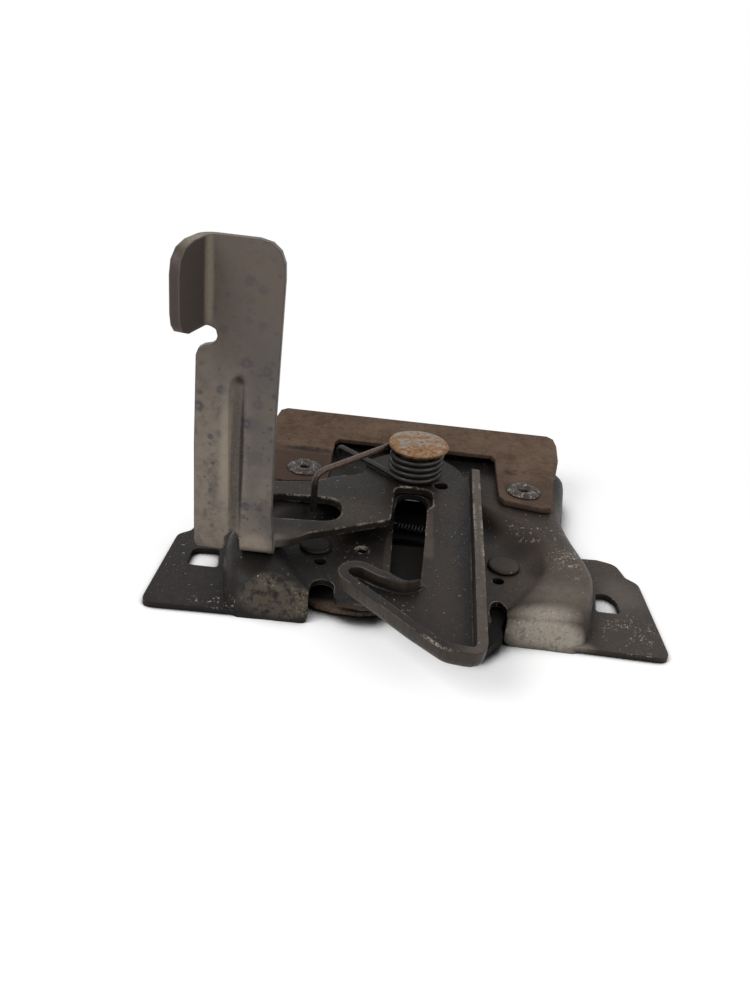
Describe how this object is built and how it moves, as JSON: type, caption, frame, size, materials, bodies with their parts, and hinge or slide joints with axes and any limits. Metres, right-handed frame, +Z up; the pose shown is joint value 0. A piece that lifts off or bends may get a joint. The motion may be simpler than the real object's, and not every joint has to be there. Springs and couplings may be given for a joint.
{
  "type": "bonnet latch",
  "caption": "Vehicle bonnet latch: pressed mounting plate, sprung safety catch lever with upright pull handle, and a rotating fork held by a pawl beneath the plate.",
  "frame": {"origin": "middle of the outer box, on the plane of the ears' undersides", "axes": "+X to the right along the two ears, +Y towards the rear bracket, +Z up out of the mounting plane"},
  "size_m": [0.1454, 0.1293, 0.0994],
  "materials": {
    "black_paint": "worn satin black, bare at the edges",
    "painted_pin": "worn satin black",
    "worn_lever": "worn grey phosphate with dark stains",
    "rusty_steel": "rough brown rust",
    "rusty_head": "ochre rust with grey patches",
    "bare_rivet": "dull grey with pale scratches",
    "spring_wire": "dark oiled wire",
    "plated_steel": "dull, greasy"
  },
  "bodies": {
    "frame": {"base_plate": "black_paint", "rear_bracket": "rusty_steel", "bracket_rivet_left": "bare_rivet", "bracket_rivet_right": "bare_rivet", "pivot_stud": "rusty_head", "catch_pin": "painted_pin", "pawl_pin": "painted_pin", "back_plate": "plated_steel", "catch_spring": "spring_wire"},
    "lever": {"safety_lever": "worn_lever", "lever_spring": "spring_wire"},
    "fork": {"catch_fork": "plated_steel"},
    "pawl": {"pawl": "plated_steel"}
  },
  "joints": [
    {"name": "lever_turn", "type": "hinge", "parent": "frame", "child": "lever", "pos_m": [0, 0.03359, 0.0125], "axis": [0, 0, 1], "range_deg": [0, 22], "stiffness_Nm_per_rad": 0.2, "springref_deg": -11.46, "deforming": ["lever_spring"]},
    {"name": "fork_turn", "type": "hinge", "parent": "frame", "child": "fork", "pos_m": [0.0281, -0.00591, 0.0032], "axis": [0, 0, 1], "range_deg": [-70, 0], "stiffness_Nm_per_rad": 0.02, "springref_deg": 17.19, "deforming": ["catch_spring"]},
    {"name": "pawl_turn", "type": "hinge", "parent": "frame", "child": "pawl", "pos_m": [-0.0281, -0.00591, 0.0032], "axis": [0, 0, 1], "range_deg": [-8, 12], "stiffness_Nm_per_rad": 0.02}
  ]
}
